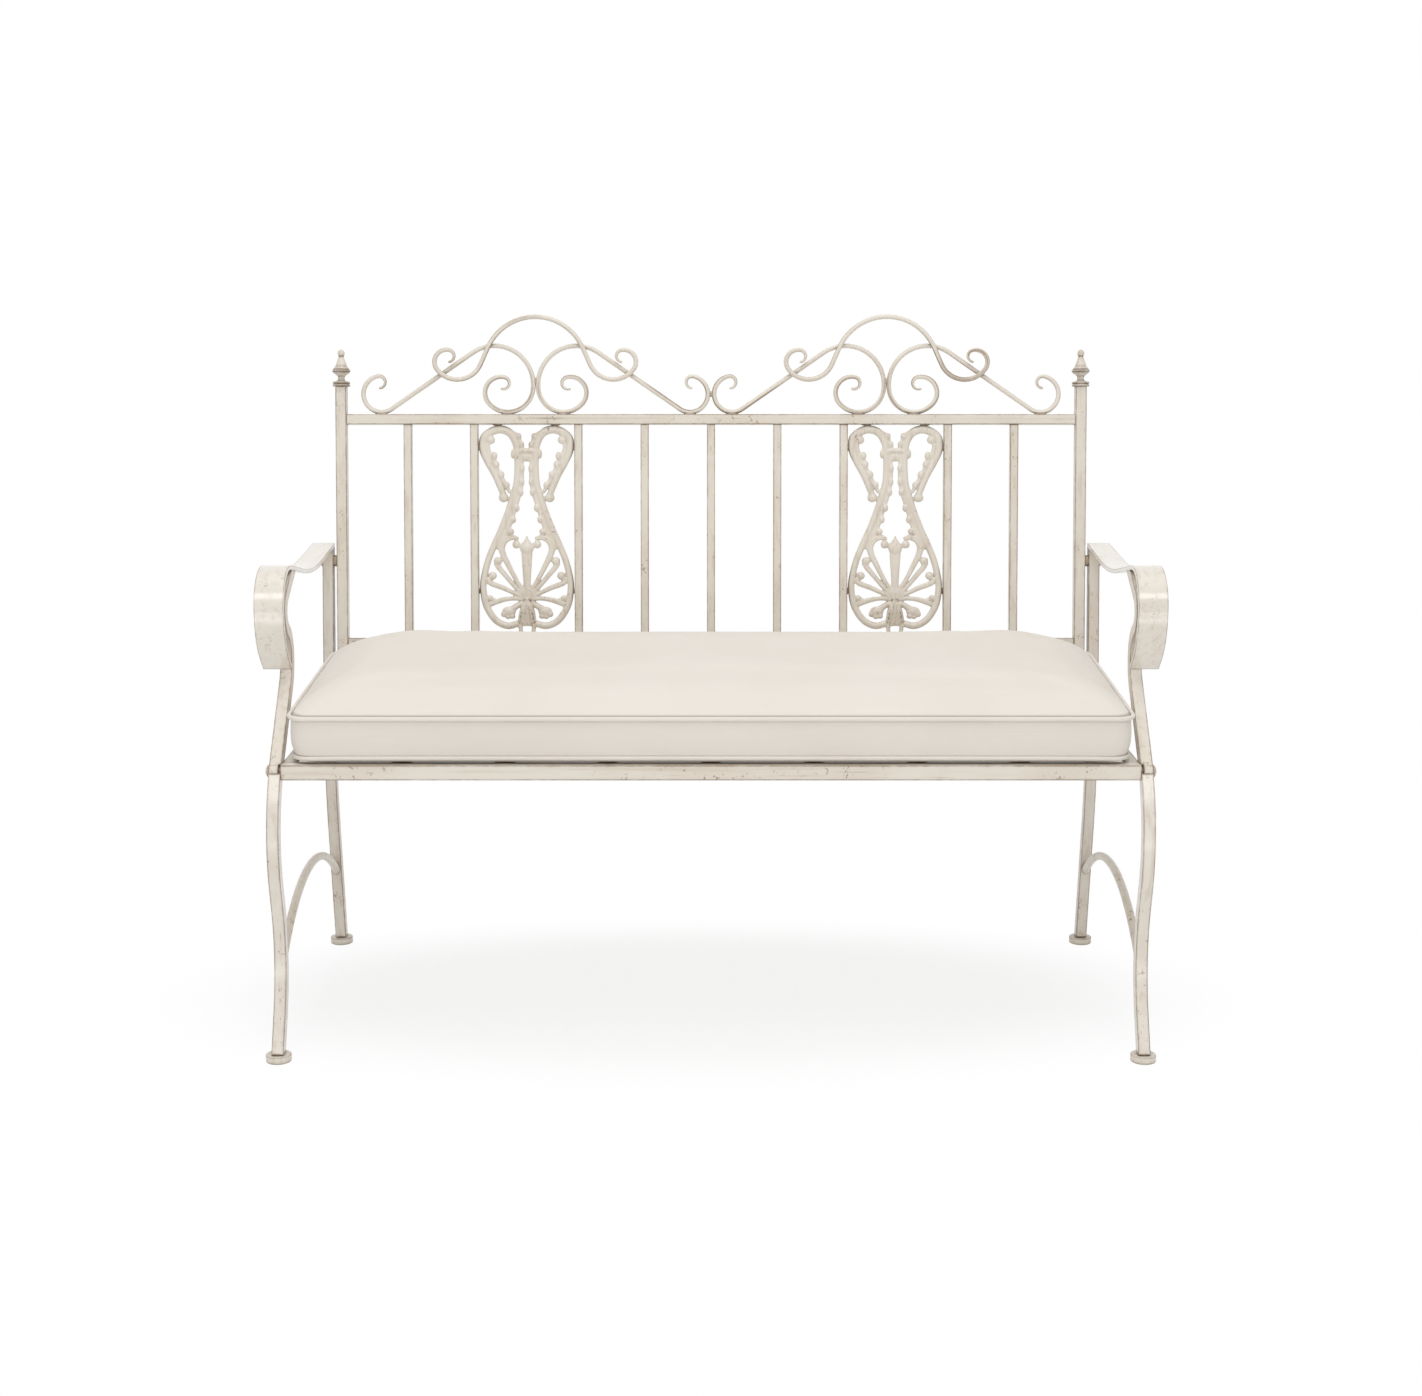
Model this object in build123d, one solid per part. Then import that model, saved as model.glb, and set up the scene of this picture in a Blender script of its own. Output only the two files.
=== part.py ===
from build123d import *
import os
from math import cos, radians, sin, tan

# Garden bench of wrought and cast iron with a loose seat cushion, in millimetres.
# X runs along the bench, -Y is its front, +Z is up. The origin is on the floor,
# under the middle of the bench. Left and right are as seen from the front.

# Back panel: spindles at one pitch, with a wider bay on each side for a casting
spindle_pitch = 99.8
panel_bay = 156.6
spindle_bar = 12.0
post_bar = 16.0
back_rail_bar = 15.0
back_lean = 9.0
bottom_rail_rise = 85.6
top_rail_rise = 421.7
post_above_rail = 49.3
casting_thickness = 9.0
casting_strand = 10.5
casting_leaf = 8.0
casting_ray = 6.5
weld_gap = 0.2

# Crest of bent round bar on the top rail
crest_bar = 7.0
crest_end_gap = 20.5
crest_rise = 141.5
curl_radius = 9.0
curl_turn = 195.0
curl_start = -4.5
scroll_radius = 27.0
scroll_slope = 34.5
loop_radius = 58.0
loop_turn = 98.5
loop_inner_radius = 38.0
loop_inner_turn = 130.0
loop_end_radius = 24.0
loop_end_turn = 146.0
arch_radius = 78.0
arch_turn = 66.0
arch_run = 27.0
lobe_radius = 38.0
lobe_turn = 120.0
lobe_end_radius = 18.0
lobe_end_turn = 142.0
lobe_curl_turn = 165.0

# Turned finials
finial_collar_radius = 13.0
finial_collar_height = 9.0
finial_neck_radius = 4.5
finial_bulb_radius = 13.5
finial_bulb_height = 18.0
finial_spire_height = 15.0
finial_ball_radius = 4.6

# Seat frame of square tube
seat_rail = 20.0
seat_rail_wall = 1.5
seat_rail_top = 393.5
seat_front_y = -225.05
back_foot_y = 199.95
plug_length = 26.0
slat_count = 7
slat_width = 25.0
slat_thickness = 5.0

# Side frames of square bar, drawn in their own upright plane
leg_bar = 16.0
arm_spacer_length = 5.5
foot_radius = 17.0
foot_height = 11.0
foot_neck_radius = 10.0
foot_neck_height = 1.5
foot_body_round = 2.0
knee_forward = 46.0
knee_height = 300.0
knee_radius = 173.0
ankle_forward = 2.0
ankle_height = 125.0
ankle_radius = 211.0
front_foot_forward = 64.0
rear_knee_height = 290.0
rear_knee_radius = 600.0
rear_foot_back = 28.0
stretcher_bar = 11.5
stretcher_height = 118.0
stretcher_arch = 193.0
stretcher_front_inset = 12.0
stretcher_rear_inset = 10.0

# Arm supports and the flat straps rolled over them
eye_radius = 9.2
eye_width = 12.5
support_elbow_rise = 114.5
support_elbow_back = 107.0
support_elbow_radius = 57.0
support_neck_length = 47.0
support_neck_radius = 38.0
support_bulge_forward = 63.0
support_bulge_rise = 38.0
support_bulge_radius = 28.0
support_top_back = 106.0
support_top_rise = 57.0
strap_width = 39.5
strap_rear_width = 33.0
strap_thickness = 6.0
strap_rear_rise = 229.5
strap_dip_back = 278.0
strap_dip_rise = 213.5
strap_dip_radius = 500.0
roll_back = 56.0
roll_rise = 257.5
roll_radius = 52.0
roll_drop = 106.0
roll_lower_radius = 80.0

# Fasteners
bolt_radius = 4.0
bolt_head_radius = 8.5
bolt_head_height = 5.5
bolt_clearance = 0.2
arm_bolt_drop = 22.5
arm_bolt_grip = 10.0
arm_spacer_radius = 8.5
eye_spacer_radius = 6.5
seat_bolt_grip = 7.0
post_bolt_radius = 3.0
post_bolt_head_radius = 5.5
post_bolt_head_height = 4.0
post_bolt_grip = 16.0

# Box cushion: foam in a piped cover. Its form is given in steps, each as a distance in from the
# largest outline and a share of the height of the belly, the boxing or the crown.
cushion_half_width = 558.0
cushion_front_y = -221.0
cushion_rear_y = 187.0
cushion_front_corner = 22.0
cushion_rear_corner = 62.0
cushion_front_height = 62.0
cushion_rear_height = 84.0
cushion_crown = 44.0
cushion_belly = 6.0
belly_steps = [(40.0, 0.0), (20.0, 0.25), (7.0, 1.0)]
boxing_steps = [(2.0, 0.25), (0.0, 0.5), (0.5, 0.75)]
crown_steps = [(3.0, 0.0), (10.0, 0.27), (25.0, 0.54), (45.0, 0.74), (70.0, 0.88), (105.0, 0.97), (150.0, 1.0)]
cover_wall = 2.0
piping_radius = 3.4
soft_gap = 0.3

# Places that follow from the sizes above
post_length = top_rail_rise + post_above_rail
post_x = 4 * spindle_pitch + panel_bay
leg_inner_x = post_x + post_bar / 2 + arm_spacer_length
leg_outer_x = leg_inner_x + leg_bar
seat_mid_z = seat_rail_top - seat_rail / 2
front_rail_y = seat_front_y + seat_rail / 2
back_plane = Plane(
    origin=(0, back_foot_y, seat_rail_top),
    x_dir=(1, 0, 0),
    z_dir=(0, -cos(radians(back_lean)), sin(radians(back_lean))),
)
foot_top = Plane.XY.offset(foot_height)
strap_rear_height = seat_rail_top + strap_rear_rise
strap_dip_height = seat_rail_top + strap_dip_rise
roll_height = seat_rail_top + roll_rise


def save(name, shape):
    """Writes one named piece, or one set of equal fasteners."""
    export_step(shape, f"parts/{name}.step")


def save_pair(name, right_shape):
    """Writes a right-hand piece and its mirror image."""
    save(f"right_{name}", right_shape)
    save(f"left_{name}", mirror(right_shape, about=Plane.YZ))


def on_lean(height):
    """The point (y, z) of the leaning back's middle line at a height above the floor."""
    return (back_foot_y + (height - seat_rail_top) * tan(radians(back_lean)), height)


def eased(points, radii):
    """Bend radii, each limited by the straight runs on both sides of its corner."""
    spots = [Vector(*p) for p in points]
    runs = [b - a for a, b in zip(spots, spots[1:])]
    halves = [tan(radians(a.get_angle(b) / 2)) for a, b in zip(runs, runs[1:])]
    lengths = [r * h for r, h in zip(radii, halves)]
    used = [a + b for a, b in zip([0] + lengths, lengths + [0])]
    room = [min(1, 0.98 * run.length / u) if u else 1 for run, u in zip(runs, used)]
    return [r * min(a, b) for r, a, b in zip(radii, room, room[1:])]


def flat_bar(points, radii, thickness, inner_x, width):
    """A flat or square bar bent in an upright plane, its points given as (y, z)."""
    path = FilletPolyline(*points, radius=eased(points, radii))
    profile = trace(path, line_width=thickness)
    return Pos(inner_x, 0, 0) * extrude(Plane.YZ * profile, amount=width)


def rod_x(radius, inner_x, length, place):
    """A round rod along X that starts at inner_x, with its axis through place (y, z)."""
    return Plane(origin=(inner_x, *place), z_dir=(1, 0, 0)) * extrude(Circle(radius), amount=length)


def bolt_shape(shank_length, shank_radius, head_radius, head_height):
    """A domed bolt along Z, its head above zero and its shank below."""
    rim = head_height / 3
    outline = Polyline((0, head_height), (0, -shank_length), (shank_radius, -shank_length),
                       (shank_radius, 0), (head_radius, 0), (head_radius, rim))
    dome = TangentArc((0, head_height), (head_radius, rim), tangent=(1, 0))
    return revolve(Plane.XZ * make_face(outline + dome), Axis.Z)


def bolt_x(place, head_x, shank_length):
    """A domed bolt along X that enters from the right, its head seated at head_x."""
    shape = bolt_shape(shank_length, bolt_radius, bolt_head_radius, bolt_head_height)
    return Plane(origin=(head_x, *place), z_dir=(1, 0, 0)) * shape


def chain(start, heading, moves):
    """Straight runs (length, 0) and arcs (radius, turn in degrees), each tangent to the last."""
    edges = []
    here = Vector(*start)
    ahead = Vector(cos(radians(heading)), sin(radians(heading)))
    for size, turn in moves:
        edge = JernArc(here, ahead, size, turn) if turn else Line(here, here + ahead * size)
        edges.append(edge)
        here = edge @ 1
        ahead = edge % 1
    return Wire(edges)


def round_bar(path, radius):
    """A round bar swept along a chain."""
    section = Plane(origin=path @ 0, z_dir=path % 0) * Circle(radius)
    return sweep(section, path=path)


os.makedirs("parts", exist_ok=True)
hole_radius = bolt_radius + bolt_clearance

# Arm support: an eye at the seat rail, an S bend, and its top cut to lie under the strap
eye_place = (front_rail_y, seat_mid_z)
eye_gap = leg_bar - eye_width
elbow = (front_rail_y + support_elbow_back, seat_mid_z + support_elbow_rise)
neck = (elbow[0], elbow[1] + support_neck_length)
bulge = (neck[0] - support_bulge_forward, neck[1] + support_bulge_rise)
support_top = (bulge[0] + support_top_back, bulge[1] + support_top_rise)
strap_rear_y = on_lean(strap_rear_height)[0] + leg_bar / 2
strap_rear = (strap_rear_y, strap_rear_height)
strap_dip = (front_rail_y + strap_dip_back, strap_dip_height)
roll_top = (front_rail_y + roll_back, roll_height)
roll_low = (roll_top[0], roll_height - roll_drop)


def strap_underside(front, rear):
    """The plane of the strap's underside along one of its straight runs."""
    run = Vector(0, *rear) - Vector(0, *front)
    up = Vector(1, 0, 0).cross(run).normalized()
    return Plane(origin=Vector(0, *rear) - up * (strap_thickness / 2), z_dir=up)


support_bends = [support_elbow_radius, support_neck_radius, support_bulge_radius]
support_points = [eye_place, elbow, neck, bulge, support_top]
support = flat_bar(support_points, support_bends, leg_bar, leg_inner_x, leg_bar)
support = split(support, bisect_by=strap_underside(roll_top, strap_dip), keep=Keep.BOTTOM)
support -= rod_x(eye_radius + weld_gap, leg_inner_x, eye_gap, eye_place)
support += rod_x(eye_radius, leg_inner_x + eye_gap, eye_width, eye_place)
support -= rod_x(hole_radius, leg_inner_x, leg_bar, eye_place)
save_pair("arm_support", support)

# Armrest strap: rolled over the front, butted on the elbow, narrower towards the back
rising = (Vector(*elbow) - Vector(*eye_place)).normalized()
elbow_side = (Vector(0, 1) - rising).normalized()
elbow_ease = eased(support_points, support_bends)[0]
elbow_cut = elbow_ease * (1 / cos(radians(rising.get_angle(Vector(0, 1)) / 2)) - 1)
elbow_middle = Vector(*elbow) + elbow_side * elbow_cut
strap_points = [strap_rear, strap_dip, roll_top, roll_low, (elbow_middle.X, elbow_middle.Y)]
strap_bends = [strap_dip_radius, roll_radius, roll_lower_radius]
strap = flat_bar(strap_points, strap_bends, strap_thickness, leg_inner_x, strap_width)
strap -= flat_bar([eye_place, elbow, neck], support_bends[:1], leg_bar + 2 * weld_gap, leg_inner_x, strap_width)
taper_plane = Plane(
    origin=(leg_inner_x + strap_width, roll_top[0] - strap_thickness, 0),
    x_dir=(0, 0, 1),
    z_dir=(strap_rear_y - roll_top[0], strap_width - strap_rear_width, 0),
)
strap = split(strap, bisect_by=taper_plane, keep=Keep.BOTTOM)
save_pair("armrest", strap)

# Front leg: a cabriole bar from the eye to its foot
knee = (front_rail_y - knee_forward, knee_height)
ankle = (front_rail_y - ankle_forward, ankle_height)
front_toe = (front_rail_y - front_foot_forward, 0)
front_leg = flat_bar([eye_place, knee, ankle, front_toe], [knee_radius, ankle_radius],
                     leg_bar, leg_inner_x, leg_bar)
front_leg -= rod_x(eye_radius + weld_gap, leg_inner_x, leg_bar, eye_place)
front_leg = split(front_leg, bisect_by=foot_top, keep=Keep.TOP)
save_pair("front_leg", front_leg)

# Rear leg: beside the post down to the seat, then swept back to its foot
rear_knee = on_lean(rear_knee_height)
rear_toe = (back_foot_y + rear_foot_back, 0)
arm_bolt_place = on_lean(strap_rear_height - arm_bolt_drop)
rear_bolt_place = (back_foot_y, seat_mid_z)
rear_leg = flat_bar([on_lean(strap_rear_height + leg_bar), rear_knee, rear_toe], [rear_knee_radius],
                    leg_bar, leg_inner_x, leg_bar)
rear_leg = split(rear_leg, bisect_by=foot_top, keep=Keep.TOP)
rear_leg = split(rear_leg, bisect_by=strap_underside(strap_dip, strap_rear), keep=Keep.BOTTOM)
rear_leg -= rod_x(hole_radius, leg_inner_x, leg_bar, arm_bolt_place)
rear_leg -= rod_x(hole_radius, leg_inner_x, leg_bar, rear_bolt_place)
save_pair("rear_leg", rear_leg)

# Feet: turned discs with a short neck, under the middle of each leg's end
foot_body = extrude(Circle(foot_radius), amount=foot_height - foot_neck_height)
foot_body = fillet(foot_body.edges(), foot_body_round)
foot_neck = extrude(Circle(foot_neck_radius), amount=foot_neck_height)
foot = foot_body + Pos(0, 0, foot_height - foot_neck_height) * foot_neck
leg_mid_x = leg_inner_x + leg_bar / 2
for place, leg in [("front", front_leg), ("rear", rear_leg)]:
    sole = leg.faces().sort_by(Axis.Z)[0].center()
    save_pair(f"{place}_foot", Pos(leg_mid_x, sole.Y, 0) * foot)

# Stretcher: a round bar arched between the two legs, with its ends coped to them
arch_mid = (front_rail_y + back_foot_y) / 2
front_shin = front_rail_y - stretcher_front_inset
rear_shin = back_foot_y + stretcher_rear_inset
stretcher_path = Plane.YZ.offset(leg_mid_x) * ThreePointArc(
    (front_shin, stretcher_height), (arch_mid, stretcher_arch), (rear_shin, stretcher_height))
stretcher = round_bar(stretcher_path, stretcher_bar / 2)
save_pair("stretcher", stretcher - front_leg - rear_leg)

# Seat frame: four square tubes, threaded plugs in the long ones, and slats between them
tube_bore = seat_rail - 2 * seat_rail_wall
rear_rail_place = (back_foot_y, seat_mid_z)
post_hole = Pos(0, back_foot_y, 0) * extrude(Circle(post_bolt_radius + bolt_clearance), amount=seat_rail_top)
post_hole += Pos(0, back_foot_y, seat_rail_top) * extrude(Circle(post_bolt_radius + bolt_clearance),
                                                        amount=post_bolt_grip)
post_holes = [Pos(x, 0, 0) * post_hole for x in (-post_x, post_x)]


def seat_tube(length):
    """A square tube along X."""
    return Box(length, seat_rail, seat_rail) - Box(length, tube_bore, tube_bore)


front_rail = Pos(0, *eye_place) * seat_tube(2 * leg_inner_x)
rear_rail = Pos(0, *rear_rail_place) * seat_tube(2 * leg_inner_x) - post_holes
save("seat_front_rail", front_rail)
save("seat_rear_rail", rear_rail)
seat_clear = rear_rail_place[0] - front_rail_y - seat_rail
seat_mid_y = (rear_rail_place[0] + front_rail_y) / 2
side_rail = Pos(leg_inner_x - seat_rail / 2, seat_mid_y, seat_mid_z) * Rot(0, 0, 90) * seat_tube(seat_clear)
save_pair("seat_side_rail", side_rail)
plugs = []
for place in (eye_place, rear_rail_place):
    plug = Pos(leg_inner_x - plug_length / 2, *place) * Box(plug_length, tube_bore, tube_bore)
    plug -= rod_x(hole_radius, leg_inner_x - plug_length, plug_length, place)
    plugs += [plug, mirror(plug, about=Plane.YZ)]
plugs = [plug - post_holes for plug in plugs]
save("seat_rail_plugs", Compound(plugs))
slat_span = 2 * (leg_inner_x - seat_rail)
slat_pitch = slat_span / (slat_count + 1)
for i in range(slat_count):
    slat_x = (i + 1) * slat_pitch - slat_span / 2
    slat = Box(slat_width, seat_clear, slat_thickness)
    save(f"seat_slat_{i + 1}", Pos(slat_x, seat_mid_y, seat_rail_top - slat_thickness / 2) * slat)

# Back panel: posts cut level on the rear rail, finials, rails and spindles
post = Box(post_bar, post_length + seat_rail, post_bar)
post = back_plane * Pos(post_x, (post_length - seat_rail) / 2, 0) * post
post = split(post, bisect_by=Plane.XY.offset(seat_rail_top), keep=Keep.TOP)
post -= post_holes[1]
post -= rod_x(hole_radius, post_x + post_bar / 2 - arm_bolt_grip, arm_bolt_grip, arm_bolt_place)
save_pair("back_post", post)
bulb_base = finial_collar_height + finial_neck_radius
spire_base = bulb_base + finial_bulb_height
ball_base = spire_base + finial_spire_height
finial_top = ball_base + 2 * finial_ball_radius
collar_flat = finial_collar_radius - finial_collar_height / 2
finial_side = Polyline((0, finial_top), (0, 0), (collar_flat, 0)) + [
    ThreePointArc((collar_flat, 0), (finial_collar_radius, finial_collar_height / 2),
                  (collar_flat, finial_collar_height)),
    Polyline((collar_flat, finial_collar_height), (finial_neck_radius, finial_collar_height),
             (finial_neck_radius, bulb_base)),
    ThreePointArc((finial_neck_radius, bulb_base), (finial_bulb_radius, bulb_base + finial_bulb_height / 2),
                  (finial_neck_radius, spire_base)),
    Line((finial_neck_radius, spire_base), (finial_neck_radius / 2, ball_base)),
    TangentArc((0, finial_top), (finial_neck_radius / 2, ball_base), tangent=(1, 0)),
]
finial = back_plane * Pos(post_x, post_length, 0) * revolve(make_face(finial_side), Axis.Y)
save_pair("finial", finial)
back_clear = 2 * post_x - post_bar
top_rail = back_plane * Pos(0, top_rail_rise, 0) * Box(back_clear, back_rail_bar, back_rail_bar)
bottom_rail = back_plane * Pos(0, bottom_rail_rise, 0) * Box(back_clear, back_rail_bar, back_rail_bar)
save("back_top_rail", top_rail)
save("back_bottom_rail", bottom_rail)
spindle_length = top_rail_rise - bottom_rail_rise - back_rail_bar
spindle_rise = (top_rail_rise + bottom_rail_rise) / 2
outer_spindle = 2 * spindle_pitch + panel_bay
spindle_places = [-outer_spindle - spindle_pitch, -outer_spindle, -2 * spindle_pitch, -spindle_pitch, 0,
                  spindle_pitch, 2 * spindle_pitch, outer_spindle, outer_spindle + spindle_pitch]
for i, x in enumerate(spindle_places):
    spindle = back_plane * Pos(x, spindle_rise, 0) * Box(spindle_bar, spindle_length, spindle_bar)
    save(f"spindle_{i + 1}", spindle)

# Crest: per unit an arch with lobes in front of two S scrolls, which stand on the top rail
crest_base = top_rail_rise + back_rail_bar / 2 + crest_bar / 2 + weld_gap
slope_sin = sin(radians(scroll_slope))
slope_cos = cos(radians(scroll_slope))
loop_cos = cos(radians(loop_turn))
loop_drop = loop_radius * (1 - loop_cos) + loop_inner_radius * (1 + loop_cos)
scroll_run = (loop_drop - (scroll_radius + loop_radius) * (1 - slope_cos)) / slope_sin
scroll_reach = (scroll_radius + loop_radius) * slope_sin + scroll_run * slope_cos + loop_radius
scroll_turn = 360 - curl_start - curl_turn
unit_place = (back_clear / 2 - crest_end_gap) / 2
outer_moves = [(curl_radius, curl_turn), (scroll_radius, scroll_turn)]
inner_moves = [(scroll_radius, scroll_slope), (scroll_run, 0), (loop_radius, -scroll_slope - loop_turn),
               (loop_inner_radius, -loop_inner_turn), (loop_end_radius, -loop_end_turn),
               (curl_radius, -curl_turn)]
scroll_foot = chain((0, 0), curl_start, outer_moves) @ 1
touch = (-scroll_reach - (crest_bar + weld_gap) / 2, crest_base)
curl_tip = (touch[0] - scroll_foot.X, touch[1] - scroll_foot.Y)
scroll = round_bar(chain(curl_tip, curl_start, outer_moves + inner_moves), crest_bar / 2)
arch_moves = [(arch_radius, arch_turn), (arch_run, 0), (lobe_radius, -lobe_turn),
              (lobe_end_radius, -lobe_end_turn), (curl_radius, -lobe_curl_turn)]
half_arch = round_bar(chain((0, crest_base + crest_rise), 180, arch_moves), crest_bar / 2)
arch = Pos(0, 0, crest_bar + weld_gap) * (half_arch + mirror(half_arch, about=Plane.YZ))
for side, unit_x in [("left", -unit_place), ("right", unit_place)]:
    unit = back_plane * Pos(unit_x, 0, 0)
    save(f"{side}_crest_arch", unit * arch)
    save(f"{side}_crest_left_scroll", unit * scroll)
    save(f"{side}_crest_right_scroll", unit * mirror(scroll, about=Plane.YZ))

# Casting: a lyre over a palmette, drawn from its middle line outwards and its top downwards
casting_half = (panel_bay - spindle_bar) / 2 - weld_gap
casting_height = spindle_length - 2 * weld_gap


def at(across, down):
    """A point of the pattern, in hundredths of the half width and of the height that the bay leaves it."""
    return (across / 100 * casting_half, -down / 100 * casting_height)


def strand(points, bends, width):
    """A ribbon of even width along corners with bends given in strand widths."""
    spots = [at(*p) for p in points]
    if not bends:
        return trace(Polyline(*spots), line_width=width)
    radii = [bend * casting_strand for bend in bends]
    return trace(FilletPolyline(*spots, radius=eased(spots, radii)), line_width=width)


lyre = strand([(40.9, 32.5), (100.5, 9.4), (66.9, 0.2), (17.3, 4.2), (17.2, 29.7), (91.2, 71.3), (87.4,
               88.6), (40.8, 95.3), (13.7, 92.8)], [2.6, 2.6, 2.6, 13.05, 15.24, 3.62, 3.62],
               casting_strand)
upper_leaf = strand([(72.8, 7.8), (82.4, 11.2), (63.2, 18.7), (42.6, 28.1)], [0.76, 5.71], casting_leaf)
lower_leaf = strand([(5.5, 77.3), (54.9, 59.9), (42.6, 50.5), (9.6, 51.4), (12.4, 55.5)], [1.9, 1.33, 0.76],
                     casting_leaf)
rays = [strand([(0, 81.7), (59.8, 65.5)], [], casting_ray),
        strand([(0, 82.3), (41.2, 78.6), (81, 74.2)], [5.71], casting_ray),
        strand([(0, 82.3), (41.2, 81.7), (83.8, 84.8)], [5.71], casting_ray),
        strand([(5.5, 83.6), (33, 86.1)], [], casting_leaf)]
# Round knobs and leaf lobes: place as above, radius in strand widths
knobs = [(48.9, 34.7, 0.6), (72.5, 7.5, 0.57), (20.5, 56.1, 0.48), (60.7, 64.2, 0.6), (71.4, 71.7, 0.54),
         (75.5, 82.3, 0.48), (39.4, 88.2, 0.91)]
lobes = [(61.1, 18.1, 0.57), (48.1, 23.1, 0.57), (37.1, 28.7, 0.48), (12.4, 20.3, 0.48), (13.7, 26.2, 0.48),
         (17.2, 32.1, 0.48), (24.7, 38.4, 0.52), (33.7, 44, 0.52)]
spots = [Pos(*at(across, down)) * Circle(size * casting_strand) for across, down, size in knobs + lobes]
spear_side = [(0, 51.8), (6.9, 55.2), (12.4, 60.8), (8.9, 74.8), (15.1, 80.4), (12.4, 84.2), (26.1, 91.1),
              (13.7, 93.9), (12.4, 100), (0, 100)]
spear = make_face(Polyline(*[at(*p) for p in spear_side], close=True))
bud = Pos(*at(0, 57.7)) * Circle(1.05 * casting_strand)
tie_side = [(0, 12.2), (19.2, 12.2), (19.2, 17.5), (0, 17.5)]
tie = make_face(Polyline(*[at(*p) for p in tie_side], close=True))
half_pattern = lyre + [upper_leaf, lower_leaf, *rays, *spots, spear, tie]
pattern = half_pattern + mirror(half_pattern, about=Plane.YZ) + bud
casting = extrude(pattern, amount=casting_thickness / 2, both=True)
casting_x = 2 * spindle_pitch + panel_bay / 2
casting_top = top_rail_rise - back_rail_bar / 2 - weld_gap
for side, x in [("left", -casting_x), ("right", casting_x)]:
    save(f"{side}_casting", back_plane * Pos(x, casting_top, 0) * casting)

# Fasteners: bolts through the side frames, their spacers, and bolts up into the posts
seat_bolt_length = leg_bar + seat_bolt_grip
seat_bolts = [bolt_x(place, leg_outer_x, seat_bolt_length) for place in (eye_place, rear_bolt_place)]
save("seat_bolts", Compound(seat_bolts + [mirror(bolt, about=Plane.YZ) for bolt in seat_bolts]))
arm_bolt_length = leg_bar + arm_spacer_length + arm_bolt_grip - bolt_clearance
arm_bolt = bolt_x(arm_bolt_place, leg_outer_x, arm_bolt_length)
save("arm_bolts", Compound([arm_bolt, mirror(arm_bolt, about=Plane.YZ)]))
arm_spacer = rod_x(arm_spacer_radius, leg_inner_x - arm_spacer_length, arm_spacer_length, arm_bolt_place)
arm_spacer -= rod_x(hole_radius, leg_inner_x - arm_spacer_length, arm_spacer_length, arm_bolt_place)
save("arm_spacers", Compound([arm_spacer, mirror(arm_spacer, about=Plane.YZ)]))
eye_spacer = rod_x(eye_spacer_radius, leg_inner_x, eye_gap, eye_place)
eye_spacer -= rod_x(hole_radius, leg_inner_x, eye_gap, eye_place)
save("eye_spacers", Compound([eye_spacer, mirror(eye_spacer, about=Plane.YZ)]))
post_bolt = Rot(180, 0, 0) * bolt_shape(seat_rail + post_bolt_grip - bolt_clearance, post_bolt_radius,
                                        post_bolt_head_radius, post_bolt_head_height)
post_bolts = [Pos(x, back_foot_y, seat_rail_top - seat_rail) * post_bolt for x in (-post_x, post_x)]
save("post_bolts", Compound(post_bolts))

# Cushion: level below, rising to the back and crowned above, with its sides drawn in to two piped seams
cushion_bottom = seat_rail_top + soft_gap
bottom_seam = cushion_bottom + cushion_belly
front_seam = cushion_bottom + cushion_front_height
rear_seam = cushion_bottom + cushion_rear_height
cushion_mid_y = (cushion_front_y + cushion_rear_y) / 2


def cushion_line(inset, front_z, rear_z):
    """A closed rounded outline inside the cushion's largest one, tilted from front to back."""
    half_x = cushion_half_width - inset
    half_y = (cushion_rear_y - cushion_front_y) / 2 - inset
    corner_room = 0.9 * half_y
    front_corner = min(cushion_front_corner + 0.4 * max(inset, 0), corner_room)
    rear_corner = min(cushion_rear_corner + 0.4 * max(inset, 0), corner_room)
    tilt = Vector(0, cushion_rear_y - cushion_front_y, rear_z - front_z)
    level = Plane(origin=(0, cushion_mid_y, (front_z + rear_z) / 2), x_dir=(1, 0, 0),
                  z_dir=Vector(1, 0, 0).cross(tilt))
    corners = [(half_x, -half_y), (half_x, half_y), (-half_x, half_y), (-half_x, -half_y)]
    rounds = [front_corner, rear_corner, rear_corner, front_corner]
    return level * FilletPolyline(*corners, radius=rounds, close=True)


def cushion_body(inward):
    """The cushion's form, shrunk on all sides by a distance."""
    belly = cushion_belly - inward
    crown = cushion_crown - inward
    lines = []
    for inset, share in belly_steps:
        level = bottom_seam - (1 - share) * belly
        lines.append(cushion_line(inset + inward, level, level))
    for inset, share in boxing_steps:
        front_z = bottom_seam + share * (front_seam - bottom_seam)
        rear_z = bottom_seam + share * (rear_seam - bottom_seam)
        lines.append(cushion_line(inset + inward, front_z, rear_z))
    for inset, share in crown_steps:
        lines.append(cushion_line(inset + inward, front_seam + share * crown, rear_seam + share * crown))
    return loft([make_face(line) for line in lines], ruled=True)


def piping(drawn_in, front_z, rear_z, radius):
    """A cord sewn round a seam."""
    return round_bar(cushion_line(drawn_in - piping_radius, front_z, rear_z), radius)


seams = [("top", crown_steps[0][0], front_seam, rear_seam),
         ("bottom", belly_steps[-1][0], bottom_seam, bottom_seam)]
cover = cushion_body(0) - cushion_body(cover_wall)
for place, drawn_in, front_z, rear_z in seams:
    cover -= piping(drawn_in, front_z, rear_z, piping_radius + soft_gap)
    save(f"cushion_{place}_piping", piping(drawn_in, front_z, rear_z, piping_radius))
save("cushion_cover", cover)
save("cushion_foam", cushion_body(cover_wall + soft_gap))
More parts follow.
